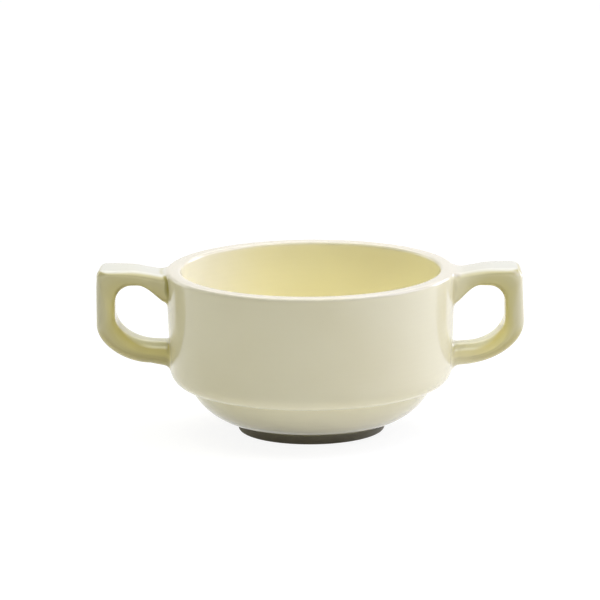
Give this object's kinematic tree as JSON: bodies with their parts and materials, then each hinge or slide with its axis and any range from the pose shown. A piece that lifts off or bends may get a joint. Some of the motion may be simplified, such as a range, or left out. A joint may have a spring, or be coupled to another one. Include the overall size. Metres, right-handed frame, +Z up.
{
  "type": "bouillon cup",
  "caption": "Stacking soup cup in thick glazed ceramic: straight wall, rounded shoulder over a recessed lower bowl, foot ring, and squared loop handles with flat thumb rests.",
  "frame": {"origin": "middle of the foot ring, on the surface that the cup stands on", "axes": "+Z up along the axis of the body, +X towards the handle that hangs slightly lower, +Y away from the camera of the picture"},
  "size_m": [0.157, 0.106, 0.0609],
  "materials": {
    "glaze": "glossy cream glaze"
  },
  "bodies": {
    "root": {"cup": "glaze"}
  },
  "joints": []
}
